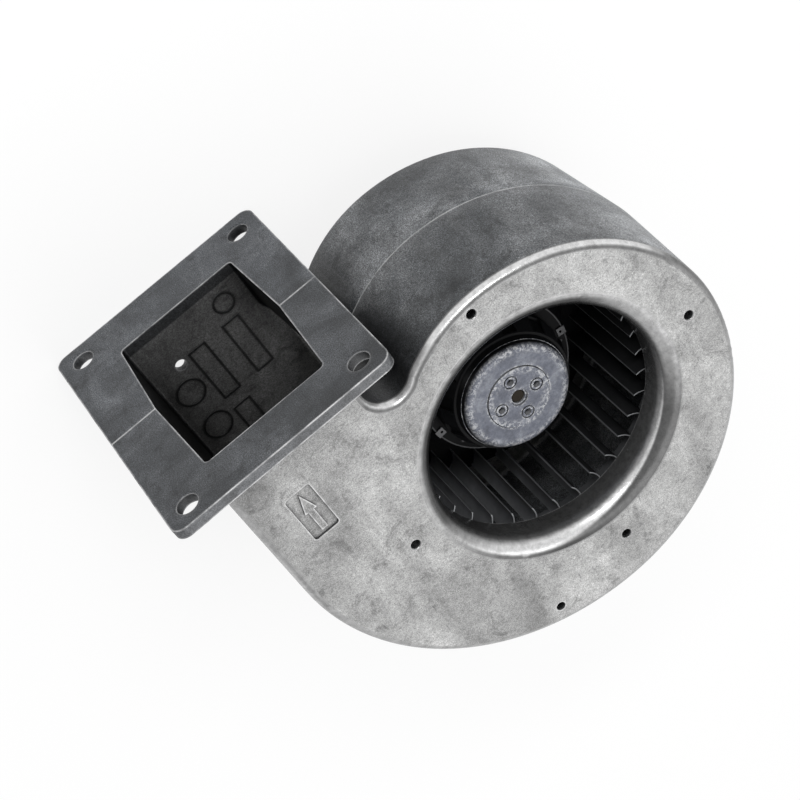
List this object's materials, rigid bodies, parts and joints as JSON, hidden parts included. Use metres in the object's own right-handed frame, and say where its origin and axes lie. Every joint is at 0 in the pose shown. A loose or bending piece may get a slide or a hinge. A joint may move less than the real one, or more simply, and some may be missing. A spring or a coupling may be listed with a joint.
{
  "type": "centrifugal fan",
  "caption": "Centrifugal fan: two-part cast scroll housing with a flanged outlet, a forward-curved drum impeller and an external-rotor motor inside the drum.",
  "frame": {"origin": "on the shaft axis, in the plane of the flange's lower edge and of the motor cover, where the fan rests on its back", "axes": "+Z along the shaft axis towards the inlet, -Y is the way the air leaves the outlet flange, +X towards the straight wall of the scroll"},
  "size_m": [0.214, 0.1822, 0.134],
  "materials": {
    "cast_aluminium": "raw die casting, mottled",
    "zinc_steel": "zinc plated",
    "black_sheet": "black powder coat",
    "black_rubber": "moulded rubber",
    "electrical_steel": "stacked sheets",
    "insulation": "moulded insulation",
    "copper_wire": "enamelled copper winding",
    "black_plastic": "moulded case",
    "bearing_steel": "ground bearing steel",
    "spring_steel": "blackened spring steel",
    "brass_sheet": "pressed brass",
    "shaft_steel": "ground steel",
    "rotor_aluminium": "mottled silver",
    "dark_sheet": "dark coated sheet",
    "blade_sheet": "zinc coated sheet, dull"
  },
  "bodies": {
    "housing": {"housing_front": "cast_aluminium", "housing_back": "cast_aluminium", "housing_screws": "zinc_steel", "motor_flange": "cast_aluminium", "motor_screws": "zinc_steel", "rear_cover": "black_sheet", "rear_cover_screws": "zinc_steel", "cable_grommet": "black_rubber", "stator_core": "electrical_steel", "stator_frame_front": "insulation", "stator_frame_rear": "insulation", "stator_windings": "copper_wire", "thermal_cutout": "black_plastic", "bearing_outer_front": "bearing_steel", "bearing_outer_rear": "bearing_steel", "bearing_spring": "spring_steel", "bearing_circlip": "spring_steel"},
    "rotor": {"shaft": "shaft_steel", "shaft_circlip": "spring_steel", "bearing_inner_front": "bearing_steel", "bearing_inner_rear": "bearing_steel", "rotor_hub": "rotor_aluminium", "rotor_cup": "rotor_aluminium", "rotor_core": "electrical_steel", "rotor_cage": "rotor_aluminium", "impeller_hub": "dark_sheet", "hub_ring": "zinc_steel", "hub_rivets": "zinc_steel", "impeller_back_plate": "dark_sheet", "impeller_blades": "blade_sheet", "impeller_front_ring": "blade_sheet", "balance_clips": "zinc_steel"},
    "ball_sets": {"bearing_balls": "bearing_steel", "bearing_cages": "brass_sheet"}
  },
  "joints": [
    {"name": "rotor_spin", "type": "hinge", "parent": "housing", "child": "rotor", "pos_m": [0, 0, 0.067], "axis": [0, 0, -1], "continuous": true},
    {"name": "ball_sets_spin", "type": "hinge", "parent": "housing", "child": "ball_sets", "pos_m": [0, 0, 0.067], "axis": [0, 0, -1], "continuous": true}
  ],
  "couplings": [
    {"joint": "ball_sets_spin", "follows": "rotor_spin", "ratio": 0.4}
  ]
}
